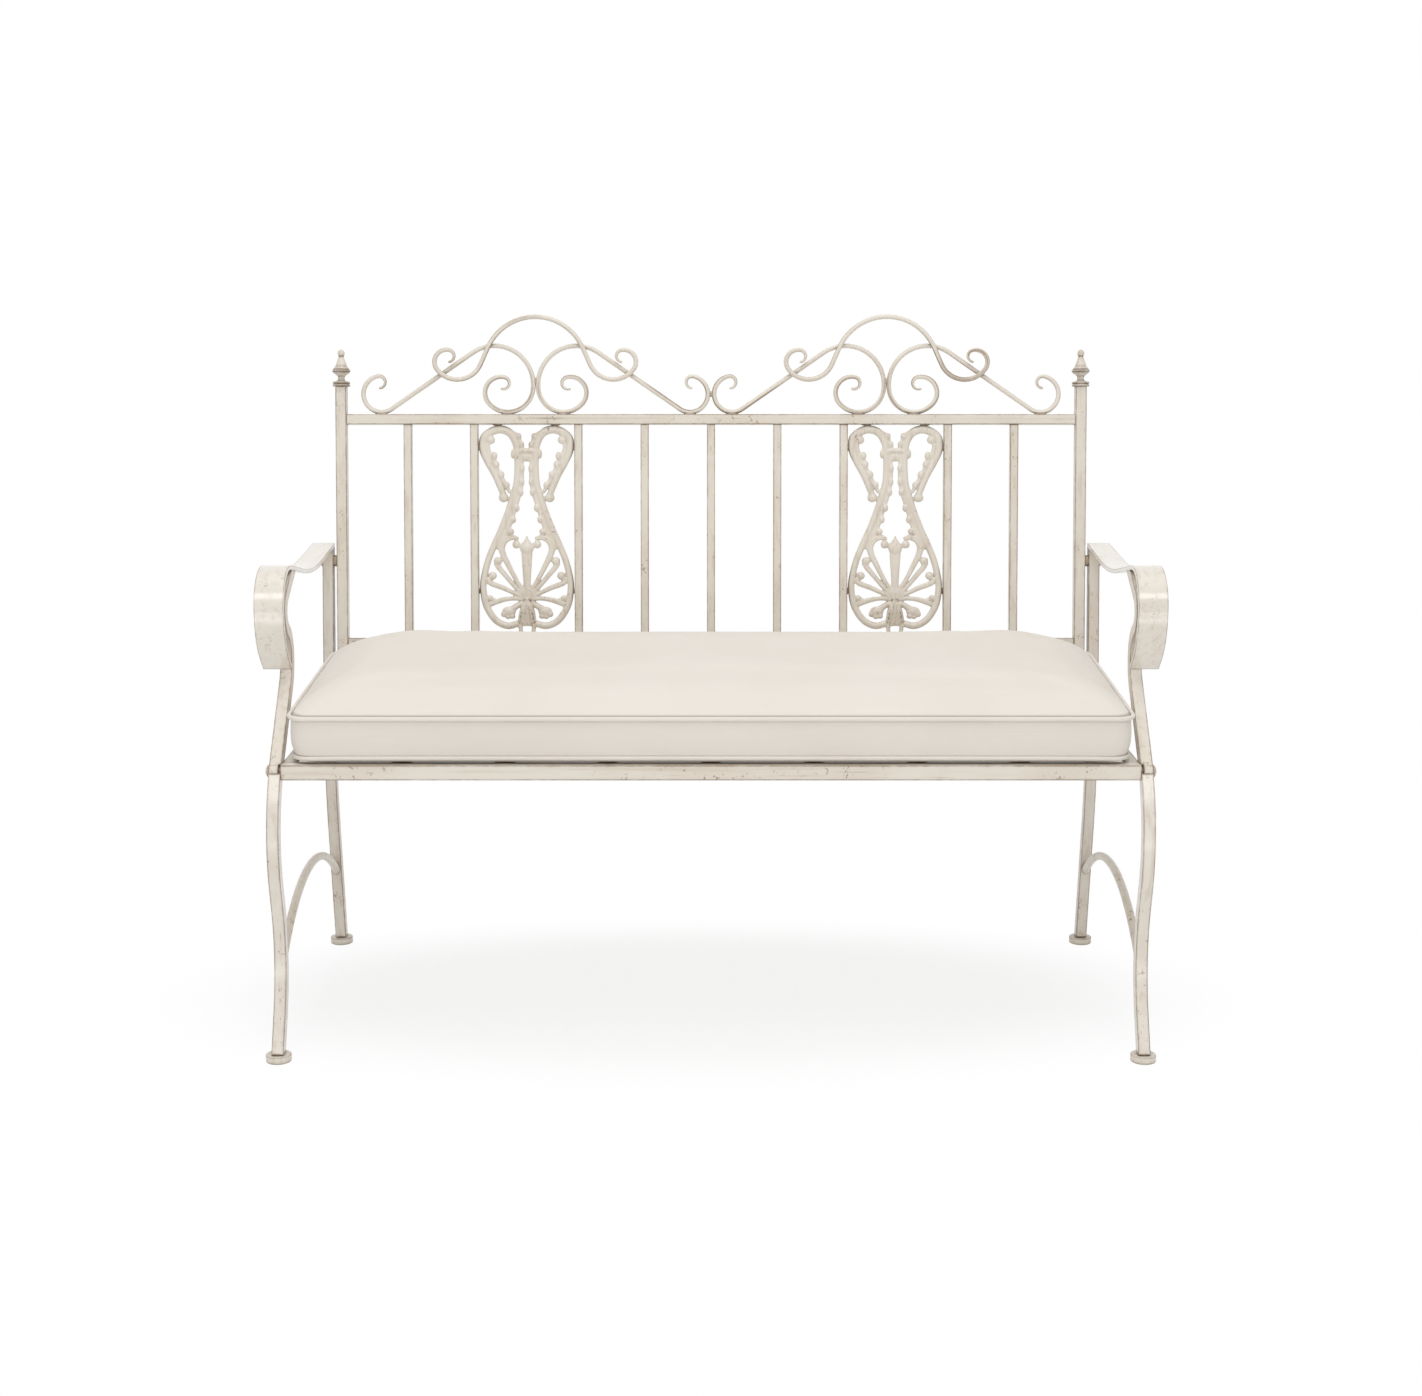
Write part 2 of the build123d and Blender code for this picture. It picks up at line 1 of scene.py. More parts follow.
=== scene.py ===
from math import cos, radians, sin
import bpy
import numpy as np
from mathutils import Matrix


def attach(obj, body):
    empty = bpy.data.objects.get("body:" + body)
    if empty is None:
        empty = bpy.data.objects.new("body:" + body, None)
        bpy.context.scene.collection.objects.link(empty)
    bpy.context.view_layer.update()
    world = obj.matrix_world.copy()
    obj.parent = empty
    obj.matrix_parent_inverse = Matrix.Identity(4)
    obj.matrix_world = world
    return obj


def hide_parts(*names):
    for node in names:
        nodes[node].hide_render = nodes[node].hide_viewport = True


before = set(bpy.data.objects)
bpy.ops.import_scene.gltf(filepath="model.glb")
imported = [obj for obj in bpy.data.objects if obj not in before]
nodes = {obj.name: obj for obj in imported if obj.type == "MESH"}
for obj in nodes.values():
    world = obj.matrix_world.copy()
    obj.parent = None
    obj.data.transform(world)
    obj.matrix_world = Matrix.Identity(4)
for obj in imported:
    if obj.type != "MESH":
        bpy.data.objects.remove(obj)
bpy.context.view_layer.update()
scene = bpy.context.scene
scene.view_settings.view_transform = "Standard"


# The view: a long lens straight ahead of the bench and a little above its back,
# looking down at the seat, so that the front rail and the cushion's top both show.
look_down = 11.86
camera = bpy.data.objects.new("view", bpy.data.cameras.new("view"))
camera.data.lens = 54.23
camera.data.sensor_width = 36.0
camera.data.clip_end = 60.0
camera.location = (0.0, -2.9756, 1.0625)
camera.rotation_euler = (radians(90.0 - look_down), 0.0, 0.0)
scene.collection.objects.link(camera)
scene.camera = camera


# The room: a white floor that runs into a white background, under an even sky, a large soft lamp
# overhead, a broad one high in front and a long strip low in front. The floor is white all round,
# and keeps a faint grey shadow under the seat.
sky_level = 0.58
lamps = [
    ("overhead_lamp", (-0.1, -0.4, 4.2), (6.0, -1.5), (2.0, 3.0), 58.0),
    ("front_lamp", (0.0, -3.3, 3.0), (48.0, 0.0), (3.4, 1.1), 28.0),
    ("low_strip", (0.0, -2.0, 0.15), (92.0, 0.0), (4.4, 0.26), 5.8)]
floor_reach = 14.0
floor_grey = (0.92, 0.92, 0.92, 1.0)
shadow_offset = (0.03, 0.05, 0.0)
shadow_stretch = (1.0, 2.2, 1.0)
shadow_fade = (0.44, 0.88)
least_white = 0.75


class Shade:
    """A value, colour or vector on a surface. Arithmetic on values adds Math nodes to its material."""

    def __init__(self, tree, socket=None):
        self.tree = tree
        self.socket = socket

    def add(self, kind, inputs=None, output=0, **settings):
        """A node of that type: its settings first, then its sockets by value or link, then one output."""
        node = self.tree.nodes.new(kind)
        for name, value in settings.items():
            setattr(node, name, value)
        for name, value in (inputs or {}).items():
            if isinstance(value, Shade):
                value.feed(node, name)
            else:
                node.inputs[name].default_value = value
        return Shade(self.tree, node.outputs[output])

    def feed(self, node, name):
        """Links this to a socket of a node."""
        self.tree.links.new(self.socket, node.inputs[name])

    def maths(self, operation, first, second=0.0):
        """One Math node on two values, or on the first alone."""
        return self.add("ShaderNodeMath", {0: first, 1: second}, operation=operation)

    def __add__(self, other):
        return self.maths("ADD", self, other)

    def __sub__(self, other):
        return self.maths("SUBTRACT", self, other)

    def __rsub__(self, other):
        return self.maths("SUBTRACT", other, self)

    def __mul__(self, other):
        return self.maths("MULTIPLY", self, other)

    __radd__ = __add__
    __rmul__ = __mul__

    def step(self, low, high):
        """0 below low, 1 above high, smooth between."""
        return self.add("ShaderNodeMapRange", {"Value": self, "From Min": low, "From Max": high},
                        interpolation_type="SMOOTHSTEP")

    def noise(self, scale, detail):
        """Soft noise at this place. A scale of three numbers draws it out along the smallest."""
        if isinstance(scale, float):
            return self.add("ShaderNodeTexNoise", {"Vector": self, "Scale": scale, "Detail": detail})
        drawn_out = self.add("ShaderNodeMapping", {"Vector": self, "Scale": scale})
        return drawn_out.noise(1.0, detail)

    def mix(self, first, second, share):
        """A colour that goes from the first to the second by a share."""
        return self.add("ShaderNodeMix", {0: share, 6: first, 7: second}, output=2, data_type="RGBA")

    def blend(self, other, share):
        """This colour, with a share of another over it."""
        return self.mix(self, other, share)


def seen_rays(tree):
    """1 for a ray from the camera, or one that comes by way of gloss or glass; 0 for light that falls."""
    straight, glossy, clear = [Shade(tree).add("ShaderNodeLightPath", output=f"Is {kind} Ray")
                               for kind in ["Camera", "Glossy", "Transmission"]]
    return straight + glossy + clear


def new_material(name):
    """An empty surface: its material, its shader node and a Shade of its place in the object."""
    material = bpy.data.materials.new(name)
    material.use_nodes = True
    shader = material.node_tree.nodes["Principled BSDF"]
    place = Shade(material.node_tree).add("ShaderNodeTexCoord", output="Object")
    return material, shader, place


world = bpy.data.worlds.new("sky")
scene.world = world
world.use_nodes = True
background = world.node_tree.nodes["Background"]
background.inputs["Color"].default_value = (1.0, 1.0, 1.0, 1.0)
sky_light = seen_rays(world.node_tree) * (1.0 - sky_level) + sky_level
sky_light.feed(background, "Strength")
for name, place, tilt, size, power in lamps:
    lamp = bpy.data.objects.new(name, bpy.data.lights.new(name, "AREA"))
    lamp.data.shape = "RECTANGLE"
    lamp.data.size = size[0]
    lamp.data.size_y = size[1]
    lamp.data.energy = power
    lamp.location = place
    lamp.rotation_euler = (radians(tilt[0]), radians(tilt[1]), 0.0)
    lamp.visible_camera = False
    scene.collection.objects.link(lamp)
floor_corners = [(-floor_reach, -floor_reach, 0.0), (floor_reach, -floor_reach, 0.0),
                 (floor_reach, floor_reach, 0.0), (-floor_reach, floor_reach, 0.0)]
floor_mesh = bpy.data.meshes.new("floor")
floor_mesh.from_pydata(floor_corners, [], [(0, 1, 2, 3)])
floor = bpy.data.objects.new("floor", floor_mesh)
scene.collection.objects.link(floor)
white, white_shader, floor_place = new_material("white_floor")
from_shadow = floor_place.add("ShaderNodeMapping", {"Vector": floor_place, "Location": shadow_offset,
                                                   "Scale": shadow_stretch})
distance = floor_place.add("ShaderNodeVectorMath", {0: from_shadow}, output=1, operation="LENGTH")
whiteness = distance.step(*shadow_fade) * (1.0 - least_white) + least_white
matt = floor_place.add("ShaderNodeBsdfDiffuse", {"Color": floor_grey})
glow = floor_place.add("ShaderNodeEmission")
cover = floor_place.add("ShaderNodeMixShader", {0: seen_rays(white.node_tree) * whiteness, 1: matt, 2: glow})
cover.feed(white.node_tree.nodes["Material Output"], "Surface")
white.node_tree.nodes.remove(white_shader)
floor.data.materials.append(white)


# The iron frame: bent square bar at the sides, square tube in the rails and posts, flat strap in the
# arms and slats, welded and bolted up. Painted antique cream by brush, thin in long streaks, rubbed
# back to brown along the edges, with a dark brown glaze where two pieces meet that also paints the
# shade in gaps and under the cushion.
cream = (0.735, 0.683, 0.598, 1.0)
warm_cream = (0.63, 0.55, 0.455, 1.0)
streak_tan = (0.50, 0.40, 0.29, 1.0)
rubbed_brown = (0.235, 0.143, 0.080, 1.0)
glaze_and_shade_brown = (0.17, 0.115, 0.07, 1.0)
spacer_brown = (0.27, 0.21, 0.145, 1.0)
bar_edge = 0.0032
strap_edge = 0.0024
leg_edge = 0.0036


def antique_paint(name, edge_width=0.0, run=2, edges="rounded", base=cream, varnish=0.0):
    """A base colour under patches, brush streaks, specks, brown rubbed edges, and glaze and painted shade in
    corners.

    Streaks are noise drawn out along run, the axis the bar goes along, or along a bent bar by its
    flow attribute. A rubbed edge is where the normal rounded over edge_width leaves the flat normal,
    or on a cast piece where the surface is more pointed than its surroundings. A round bar has none,
    and is rubbed in streaks. The glaze goes dark brown where occlusion finds other surfaces near, and on
    a cast piece in its hollows: a glaze, and painted shade in gaps and under things. A point attribute
    adds the same dark brown, for rubbing and welds and for painted shadow in the neck of a foot.
    Varnish is the weight of a clear coat.
    """
    material, shader, place = new_material(name)
    lengthwise = place
    if edges == "none":
        lengthwise = place.add("ShaderNodeAttribute", output="Vector", attribute_name="flow")
    fine_run = [330.0, 330.0, 330.0]
    fine_run[run] = 7.0
    broad_run = [130.0, 130.0, 130.0]
    broad_run[run] = 5.0
    patches = place.noise(11.0, 4.0)
    mottle = place.noise(75.0, 5.0)
    grit = place.noise(300.0, 3.0)
    streaks = lengthwise.noise(broad_run, 3.0)
    hairs = lengthwise.noise(fine_run, 2.0)
    wear_and_shade = place.add("ShaderNodeAttribute", output="Fac", attribute_name="wear_and_shade")
    if edges == "cast":
        pointed = place.add("ShaderNodeNewGeometry", output="Pointiness")
        ridge = pointed.step(0.52, 0.60) * 0.7
    elif edges == "none":
        ridge = streaks.step(0.48, 0.66) * 0.8
    else:
        flat = place.add("ShaderNodeNewGeometry", output="True Normal")
        rounded = place.add("ShaderNodeBevel", {"Radius": edge_width}, samples=6)
        along = place.add("ShaderNodeVectorMath", {0: flat, 1: rounded}, output=1, operation="DOT_PRODUCT")
        ridge = (1.0 - along).step(0.002, 0.055)
    # Painted shade with the glaze: dark brown where other surfaces come within a centimetre, in gaps and
    # under the cushion.
    open_sky = place.add("ShaderNodeAmbientOcclusion", {"Distance": 0.010}, output=1, samples=8)
    glaze_and_shade = (1.0 - open_sky).step(0.18, 0.75)
    # A cast piece's hollows take the same dark brown: glaze and painted shade.
    if edges == "cast":
        glaze_and_shade = glaze_and_shade + (1.0 - pointed.step(0.41, 0.497)) * 1.1
    worn = (mottle * 0.8 + patches * 0.6 + streaks * 0.4).step(0.68, 0.98)
    rub = ridge * (worn * 0.62 + 0.38)
    speck = (grit * 0.55 + mottle * 0.6).step(0.69, 0.75) * patches.step(0.44, 0.62)
    if edges == "none":
        speck = speck * 0.3
    colour = place.mix(base, warm_cream, patches.step(0.40, 0.70) * 0.45)
    colour = colour.blend(streak_tan, streaks.step(0.48, 0.74) * 0.36)
    colour = colour.blend(rubbed_brown, hairs.step(0.66, 0.74) * patches.step(0.42, 0.62) * 0.5)
    colour = colour.blend(glaze_and_shade_brown, glaze_and_shade * (mottle * 0.5 + 0.40))
    colour = colour.blend(rubbed_brown, rub * 0.95)
    colour = colour.blend(rubbed_brown, speck * 0.7)
    # The point attribute's dark brown: rubbing and welds, and painted shadow in the necks of the feet.
    colour = colour.blend(glaze_and_shade_brown, wear_and_shade * (mottle.step(0.3, 0.6) * 0.5 + 0.5))
    colour.feed(shader, "Base Color")
    (mottle * 0.2 + rub * 0.25 + 0.24).feed(shader, "Roughness")
    shader.inputs["Coat Weight"].default_value = varnish
    shader.inputs["Coat Roughness"].default_value = 0.17
    shader.inputs["Coat IOR"].default_value = 1.9
    relief = {"Height": mottle * 0.6 + streaks * 0.4 + grit * 0.2 - rub * 0.6, "Distance": 0.0006}
    relief["Strength"] = 0.03 if edges == "none" else 0.3
    if edges == "rounded":
        relief["Normal"] = rounded
    place.add("ShaderNodeBump", relief).feed(shader, "Normal")
    return material


bar_paint = antique_paint("bar_paint", bar_edge)
rail_paint = antique_paint("rail_paint", bar_edge, run=0)
side_paint = antique_paint("side_paint", bar_edge, run=1)
leg_paint = antique_paint("leg_paint", leg_edge, varnish=0.5)
arm_paint = antique_paint("arm_paint", strap_edge, run=1, varnish=1.0)
# The spacers, deep in the gaps between parts, are dark brown all over.
bare_iron = antique_paint("bare_iron", strap_edge, base=spacer_brown)
for name, node in nodes.items():
    node.data.materials.clear()
    if "spacer" in name:
        node.data.materials.append(bare_iron)
    elif "armrest" in name:
        node.data.materials.append(arm_paint)
    elif "front_leg" in name:
        node.data.materials.append(leg_paint)
    elif "side_rail" in name:
        node.data.materials.append(side_paint)
    elif name.startswith("seat_") or name.startswith("back_"):
        node.data.materials.append(rail_paint)
    else:
        node.data.materials.append(bar_paint)


# Feet: turned iron discs welded under the legs, flat with a sharp rim, below a neck as wide as
# the bar. Radius and height in mm, then how dark brown: rubbed round the rims, and painted shadow
# in the neck under the leg.
foot_profile = np.array([
    (0.3, 0.0, 0.4), (15.9, 0.0, 0.6), (16.6, 0.25, 0.6), (16.9, 0.9, 0.3), (17.0, 2.0, 0.05),
    (17.0, 7.9, 0.0), (16.9, 8.8, 0.2), (16.5, 9.3, 0.4), (15.8, 9.5, 0.15), (11.5, 9.5, 0.1),
    (8.6, 9.6, 0.7), (8.0, 10.0, 1.0), (8.0, 11.0, 1.0), (0.3, 11.0, 1.0)])
foot_edge = 0.0008
foot_paint = antique_paint("foot_paint", foot_edge)
turned_columns = 48
turned_wear_and_shade = 0.8


def round_angles(columns):
    """Even angles once round."""
    return np.linspace(0.0, 2.0 * np.pi, columns, endpoint=False)


def turn_profile(profile):
    """A profile turned on a lathe: across by the cosine, forward by the sine, the height and the dark brown.
    """
    turn = round_angles(turned_columns)
    radius = profile[:, :1] / 1000.0
    height = np.broadcast_to(profile[:, 1:2] / 1000.0, (len(profile), turned_columns))
    wear_and_shade = np.broadcast_to(profile[:, 2:] * turned_wear_and_shade, height.shape)
    return radius * np.cos(turn), radius * np.sin(turn), height, wear_and_shade


def tube_faces(rows, columns, first, looped):
    """Quads between rings of points. A looped tube joins its last ring to its first; others are capped."""
    index = first + np.arange(rows * columns).reshape(rows, columns)
    near = index if looped else index[:-1]
    far = np.roll(index, -1, 0) if looped else index[1:]
    faces = np.stack([near, np.roll(near, -1, 1), np.roll(far, -1, 1), far], -1).reshape(-1, 4).tolist()
    if not looped:
        faces += [index[0, ::-1].tolist(), index[-1].tolist()]
    return faces


def make_piece(name, tubes, material, looped=False, wear_and_shade=None, flow=None):
    """One object from a list of tubes, each an array of rings of points, with its dark brown and flow at
    each.
    """
    points = []
    faces = []
    count = 0
    for rings in tubes:
        rows, columns = rings.shape[:2]
        points.append(rings.reshape(-1, 3))
        faces += tube_faces(rows, columns, count, looped)
        count += rows * columns
    mesh = bpy.data.meshes.new(name)
    mesh.from_pydata(np.concatenate(points).tolist(), [], faces)
    mesh.shade_smooth()
    mesh.materials.append(material)
    if wear_and_shade is not None:
        layer = mesh.attributes.new("wear_and_shade", "FLOAT", "POINT")
        layer.data.foreach_set("value", np.ravel(wear_and_shade).astype(np.float32))
    if flow is not None:
        layer = mesh.attributes.new("flow", "FLOAT_VECTOR", "POINT")
        layer.data.foreach_set("vector", np.ravel(flow).astype(np.float32))
    piece = bpy.data.objects.new(name, mesh)
    scene.collection.objects.link(piece)
    return piece


def outward(tubes):
    """Turns each tube whose volume, summed over its rings, comes out negative, so that faces point out."""
    turned = []
    for rings in tubes:
        near = rings[:-1]
        far = rings[1:]
        side = np.cross(np.roll(near, -1, 1) - near, far - near)
        turned.append(rings if (side * (near - rings.mean((0, 1)))).sum() > 0 else rings[:, ::-1])
    return turned


# Each foot carries its rubbed rims and the painted shadow in its neck as a point attribute.
for name in ["left_front_foot", "left_rear_foot", "right_front_foot", "right_rear_foot"]:
    corners = np.array(nodes[name].bound_box)
    middle = (corners.min(0) + corners.max(0)) / 2
    across, forward, height, worn = turn_profile(foot_profile)
    rings = np.stack([middle[0] + across, middle[1] + forward, height], -1)
    foot = make_piece(f"turned_{name}", outward([rings]), foot_paint, wear_and_shade=worn)
    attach(foot, "frame")
    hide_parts(name)


# Finials: turned iron caps on the two posts of the leaning back. A grooved collar, a thin neck, a
# two-bowl bulb with a raised rim, a bell-shaped spire and a ball. Radius and height in mm, then how
# dark brown each ring is, darkest in the grooves and under the rims.
finial_profile = np.array([
    (0.3, 0.0, 0.6), (11.0, 0.0, 0.6), (12.8, 0.5, 0.5), (13.2, 1.6, 0.1), (12.8, 2.7, 0.5),
    (11.5, 3.2, 1.0), (11.5, 4.0, 1.0), (12.8, 4.4, 0.6), (13.2, 5.5, 0.1), (12.5, 6.8, 0.2),
    (9.0, 7.6, 0.7), (6.4, 8.6, 0.6), (5.2, 10.4, 0.1), (4.9, 13.0, 0.0), (5.5, 15.2, 0.1),
    (8.4, 17.8, 0.1), (11.6, 20.2, 0.5), (12.4, 21.2, 1.0), (12.6, 21.9, 1.0), (13.3, 22.4, 0.5),
    (13.4, 23.4, 0.2), (13.2, 24.4, 0.6), (12.3, 25.0, 1.0), (12.1, 25.9, 0.7), (10.6, 28.2, 0.1),
    (8.9, 29.8, 0.3), (8.5, 30.8, 0.4), (8.0, 33.0, 0.0), (6.2, 38.0, 0.0), (4.3, 43.2, 0.1),
    (3.5, 45.0, 0.6), (4.5, 46.4, 0.3), (5.2, 48.6, 0.0), (5.2, 50.6, 0.0), (4.3, 52.9, 0.0),
    (2.5, 54.6, 0.1), (0.4, 55.2, 0.2)])
back_foot = (0.19995, 0.3935)
back_lean = radians(9.0)
post_place = 0.5558
post_top = 0.471


def on_back(across, up, forward):
    """Places on the leaning back: up runs from its foot along the lean, forward square to it."""
    y = back_foot[0] + up * sin(back_lean) - forward * cos(back_lean)
    z = back_foot[1] + up * cos(back_lean) + forward * sin(back_lean)
    return np.stack(np.broadcast_arrays(across, y, z), -1)


for side, x in [("left", -post_place), ("right", post_place)]:
    across, forward, height, worn = turn_profile(finial_profile)
    rings = on_back(x + across, post_top + height, forward)
    finial = make_piece(f"{side}_turned_finial", outward([rings]), bar_paint, wear_and_shade=worn)
    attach(finial, "frame")
    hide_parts(f"{side}_finial")


# Crest: round bar bent cold into scrolls and drawn thin at its ends. Each unit is an arch with
# two lobes, laid in front of two S scrolls that stand on the top rail.
crest_paint = antique_paint("crest_paint", run=0, edges="none")
bar_radius = 0.0035
bar_columns = 20
weld_gap = 0.0002
rail_middle = 0.4217
rail_half = 0.0075
rail_top = rail_middle + rail_half
crest_base = rail_top + bar_radius + weld_gap
unit_place = 0.26365
end_curl = 0.009
outer_bowl = 0.027
inner_bend = 0.058
inner_bowl = 0.038
inner_close = 0.024
curl_turn = 195.0
bowl_turn = 169.5
scroll_start = -4.5
scroll_slope = 34.5
loop_turn = 98.5
arch_rise = 0.1415
arch_moves = [(0.078, 66.0), (0.027, 0.0), (0.038, -120.0), (0.018, -142.0), (end_curl, -165.0)]
drawn_tip = 0.0018
scroll_draw = 0.055
arch_draw = 0.05
ring_spacing = 0.0016
bend_step = 0.0002


def bent_line(start, heading, moves):
    """Places along arcs (radius, turn in degrees) and runs (length, 0), each going on from the last.

    The heading is the running sum of the bend, and the place the running sum of the heading.
    """
    lengths = np.array([abs(radians(t)) * r if t else r for r, t in moves])
    bends = np.array([np.sign(t) / r if t else 0.0 for r, t in moves])
    counts = np.maximum((lengths / bend_step).astype(int), 2)
    pace = np.repeat(lengths / counts, counts)
    bend = np.repeat(bends, counts) * pace
    ahead = radians(heading) + np.cumsum(bend) - bend / 2
    steps = np.stack([np.cos(ahead), np.sin(ahead)], -1) * pace[:, None]
    return np.concatenate([[start], np.asarray(start) + np.cumsum(steps, 0)])


def thin_out(line, spacing):
    """The same line with points at an even spacing, and the length gone at each."""
    gone = np.concatenate([[0.0], np.cumsum(np.linalg.norm(np.diff(line, axis=0), axis=1))])
    even = np.linspace(0.0, gone[-1], int(gone[-1] / spacing) + 2)
    return np.stack([np.interp(even, gone, line[:, 0]), np.interp(even, gone, line[:, 1])], -1), even


def round_tube(line, radius, forward):
    """Rings of a bar round a flat line: across the line by the cosine, square to the back by the sine."""
    along = np.gradient(line, axis=0)
    along /= np.linalg.norm(along, axis=1, keepdims=True)
    square = np.stack([-along[:, 1], along[:, 0]], -1)
    round_off = round_angles(bar_columns)
    radius = radius[:, None]
    across = line[:, :1] + square[:, :1] * radius * np.cos(round_off)
    up = line[:, 1:] + square[:, 1:] * radius * np.cos(round_off)
    return on_back(across, up, forward + radius * np.sin(round_off))


def drawn_radius(gone, draw_out):
    """The bar's radius: full along its length, easing down to a rounded tip over the drawn ends."""
    end = np.minimum(gone, gone[-1] - gone)
    share = np.clip(end / draw_out, 0.0, 1.0)
    full = drawn_tip + (bar_radius - drawn_tip) * np.sin(share * np.pi / 2) ** 1.4
    return full * np.sqrt(np.clip(1.0 - (1.0 - np.clip(end / drawn_tip, 0.0, 1.0)) ** 2, 0.02, 1.0))


def flow_along(gone):
    """The bar as if straight: its length, and its two sides by the cosine and sine round it."""
    round_off = round_angles(bar_columns)
    return np.stack(np.broadcast_arrays(gone[:, None], bar_radius * np.cos(round_off),
                                        bar_radius * np.sin(round_off)), -1)


slope = radians(scroll_slope)
loop_angle = radians(loop_turn)
loop_drop = inner_bend * (1 - cos(loop_angle)) + inner_bowl * (1 + cos(loop_angle))
scroll_run = (loop_drop - (outer_bowl + inner_bend) * (1 - cos(slope))) / sin(slope)
scroll_reach = (outer_bowl + inner_bend) * sin(slope) + scroll_run * cos(slope) + inner_bend
scroll_moves = [
    (end_curl, curl_turn), (outer_bowl, bowl_turn + scroll_slope), (scroll_run, 0.0),
    (inner_bend, -scroll_slope - loop_turn), (inner_bowl, -130.0), (inner_close, -146.0),
    (end_curl, -curl_turn)]
foot_of_scroll = bent_line((0.0, 0.0), scroll_start, [(end_curl, curl_turn), (outer_bowl, bowl_turn)])[-1]
touch = np.array([-scroll_reach - bar_radius - weld_gap / 2, crest_base])
whole_scroll = bent_line(touch - foot_of_scroll, scroll_start, scroll_moves)
scroll_line, scroll_gone = thin_out(whole_scroll, ring_spacing)
arch_half = bent_line((0.0, crest_base + arch_rise), 180.0, arch_moves)
whole_arch = np.concatenate([arch_half[:0:-1], arch_half * (-1.0, 1.0)])
arch_line, arch_gone = thin_out(whole_arch, ring_spacing)
for side, x in [("left", -unit_place), ("right", unit_place)]:
    for part, way in [("left", 1.0), ("right", -1.0)]:
        line = scroll_line * (way, 1.0) + (x, 0.0)
        rings = round_tube(line, drawn_radius(scroll_gone, scroll_draw), 0.0)
        scroll = make_piece(f"{side}_{part}_scroll", outward([rings]), crest_paint,
                            flow=flow_along(scroll_gone) + x * way)
        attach(scroll, "frame")
        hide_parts(f"{side}_crest_{part}_scroll")
    rings = round_tube(arch_line + (x, 0.0), drawn_radius(arch_gone, arch_draw), 2 * bar_radius + weld_gap)
    arch = make_piece(f"{side}_arch", outward([rings]), crest_paint, flow=flow_along(arch_gone) + 2 * x)
    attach(arch, "frame")
    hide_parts(f"{side}_crest_arch")


# Crest welds: short beads where the scrolls stand on the rail and where they touch each other.
# Ground a little, and brown where the cream has not reached.
foot_bead = (0.019, 0.0048, 0.0085)
loop_bead = (0.0065, 0.010, 0.007)
bowl_bead = (0.0065, 0.009, 0.007)
bead_rise = 0.0007
loop_touch = 0.046
bead_brown = 0.55


def weld_bead(across, up, width, height, depth):
    """A lump in the round: an egg whose radius swells and shrinks twice round and once along it."""
    polar = np.linspace(0.06, np.pi - 0.06, 14)[:, None]
    round_off = round_angles(18)
    lump = 1.0 + 0.10 * np.sin(2 * round_off + 40.0 * across) + 0.08 * np.sin(3 * polar + 90.0 * across)
    x = across - np.cos(polar) * width / 2 + 0.0 * round_off
    y = up + np.sin(polar) * np.cos(round_off) * lump * height / 2
    z = np.sin(polar) * np.sin(round_off) * lump * depth / 2
    return on_back(x, y, z)


def brown_all_over(tubes, brown):
    """The same wear at every point of the tubes."""
    return np.full(sum(rings.shape[0] * rings.shape[1] for rings in tubes), brown)


beads = []
loop_foot = touch[0] + scroll_reach - inner_bend + (inner_bend - inner_bowl) * sin(loop_angle)
for x in [-unit_place, unit_place]:
    for way in [-1.0, 1.0]:
        beads.append(weld_bead(x + way * touch[0], rail_top + bead_rise, *foot_bead))
        beads.append(weld_bead(x + way * loop_foot, rail_top + bead_rise, *foot_bead))
    beads.append(weld_bead(x, crest_base + loop_touch, *loop_bead))
beads.append(weld_bead(0.0, crest_base + outer_bowl, *bowl_bead))
crest_welds = make_piece("crest_welds", outward(beads), crest_paint, wear_and_shade=brown_all_over(beads, bead_brown))
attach(crest_welds, "frame")


# Castings: a lyre over a palmette, cast in iron from a carved pattern and welded between two
# spindles. Round strands, scalloped leaves beside them, curled buds and a fluted shell below.
cast_paint = antique_paint("cast_paint", edges="cast")
spindle_pitch = 0.0998
casting_bay = 0.1566
casting_place = 2 * spindle_pitch + casting_bay / 2
casting_top = rail_top - 2 * rail_half - weld_gap
cast_grain = 0.0011


def through(places, count):
    """A smooth line through places: each stretch is the cubic whose ends head along their neighbours."""
    p = np.asarray(places, float) / 1000.0
    p = np.concatenate([[2 * p[0] - p[1]], p, [2 * p[-1] - p[-2]]])
    t = np.linspace(0.0, len(p) - 3.0, count)
    i = np.minimum(t.astype(int), len(p) - 4)
    f = (t - i)[:, None]
    a, b, c, d = p[i], p[i + 1], p[i + 2], p[i + 3]
    square = 2 * a - 5 * b + 4 * c - d
    cube = 3 * b - a - 3 * c + d
    return 0.5 * (2 * b + (c - a) * f + square * f ** 2 + cube * f ** 3)


def cast_strand(places, width, depth, forward=0.0, fluted=0.0):
    """An oval bar along a smooth line of places across and down, in mm.

    Width and depth run through the values given, and a flute takes depth away at the oval's middle.
    """
    count = 14 * len(places)
    line = through(places, count) * (1.0, -1.0) + (0.0, casting_top)
    share = np.linspace(0.0, 1.0, count)
    half_width = np.interp(share, np.linspace(0.0, 1.0, len(width)), width)[:, None] / 2000.0
    half_depth = np.interp(share, np.linspace(0.0, 1.0, len(depth)), depth)[:, None] / 2000.0
    along = np.gradient(line, axis=0)
    along /= np.linalg.norm(along, axis=1, keepdims=True)
    round_off = round_angles(20)
    flute = 1.0 - fluted * np.exp(-(np.cos(round_off) / 0.3) ** 2)
    across = line[:, :1] - along[:, 1:] * half_width * np.cos(round_off)
    up = line[:, 1:] + along[:, :1] * half_width * np.cos(round_off)
    return np.stack([across, up, forward / 1000.0 + half_depth * np.sin(round_off) * flute], -1)


